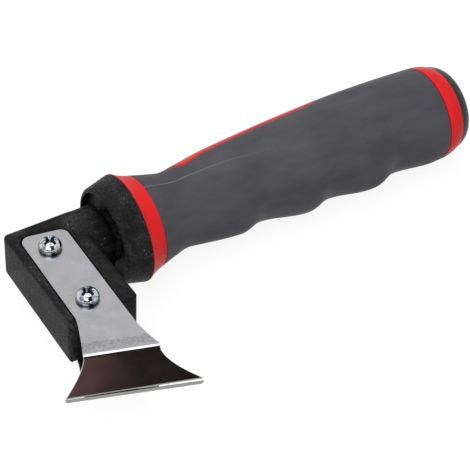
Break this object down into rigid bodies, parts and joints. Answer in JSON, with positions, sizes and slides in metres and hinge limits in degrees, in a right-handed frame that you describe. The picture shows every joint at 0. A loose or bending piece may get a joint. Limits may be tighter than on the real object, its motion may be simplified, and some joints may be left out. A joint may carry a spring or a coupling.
{
  "type": "painters scraper",
  "caption": "Hand scraper with a soft-grip handle and an offset head block that carries bent fishtail blades on its front and rear faces, each held by machine screws.",
  "frame": {"origin": "point where the handle axis meets the flat end face of the head block, at the middle of the block's thickness", "axes": "+X runs along the handle axis from the head to the butt, -Y is the way the blades reach, +Z points out of the front blade, with the plane Z = 0 halfway between the two blades"},
  "size_m": [0.1835, 0.0886, 0.0374],
  "materials": {
    "black_nylon": "spark-eroded grain, glass-filled",
    "red_plastic": "satin moulded",
    "grey_soft_grip": "matt soft-touch",
    "black_cap": "satin moulded",
    "polished_blade": "mirror polished, ground edge",
    "zinc_screw": "bright zinc",
    "zinc_steel": "zinc plated",
    "brass_insert": "turned"
  },
  "bodies": {
    "handle": {"head_block": "black_nylon", "collar": "black_nylon", "handle_core": "red_plastic", "grip_sleeve": "grey_soft_grip", "end_cap": "black_cap", "tang_bolt": "zinc_steel", "tang_washer": "zinc_steel", "tang_lock_washer": "zinc_steel", "tang_nut": "zinc_steel", "front_upper_insert": "brass_insert", "front_lower_insert": "brass_insert", "rear_upper_insert": "brass_insert", "rear_lower_insert": "brass_insert"},
    "front_blade": {"front_blade": "polished_blade"},
    "rear_blade": {"rear_blade": "polished_blade"},
    "front_upper_screw": {"front_upper_screw": "zinc_screw"},
    "front_lower_screw": {"front_lower_screw": "zinc_screw"},
    "rear_upper_screw": {"rear_upper_screw": "zinc_screw"},
    "rear_lower_screw": {"rear_lower_screw": "zinc_screw"}
  },
  "joints": [
    {"name": "front_blade_release", "type": "slide", "parent": "handle", "child": "front_blade", "axis": [0, 0.028, 0.9996], "range_m": [0, 0.012]},
    {"name": "front_upper_screw_turn", "type": "hinge", "parent": "front_blade", "child": "front_upper_screw", "pos_m": [0.01048, -0.0041, 0.00857], "axis": [0, 0.028, 0.9996], "continuous": true},
    {"name": "front_lower_screw_turn", "type": "hinge", "parent": "front_blade", "child": "front_lower_screw", "pos_m": [0.00974, -0.03039, 0.00931], "axis": [0, 0.028, 0.9996], "continuous": true},
    {"name": "rear_blade_release", "type": "slide", "parent": "handle", "child": "rear_blade", "axis": [0, 0.028, -0.9996], "range_m": [0, 0.012]},
    {"name": "rear_upper_screw_turn", "type": "hinge", "parent": "rear_blade", "child": "rear_upper_screw", "pos_m": [0.01048, -0.0041, -0.00857], "axis": [0, 0.028, -0.9996], "continuous": true},
    {"name": "rear_lower_screw_turn", "type": "hinge", "parent": "rear_blade", "child": "rear_lower_screw", "pos_m": [0.00974, -0.03039, -0.00931], "axis": [0, 0.028, -0.9996], "continuous": true}
  ]
}
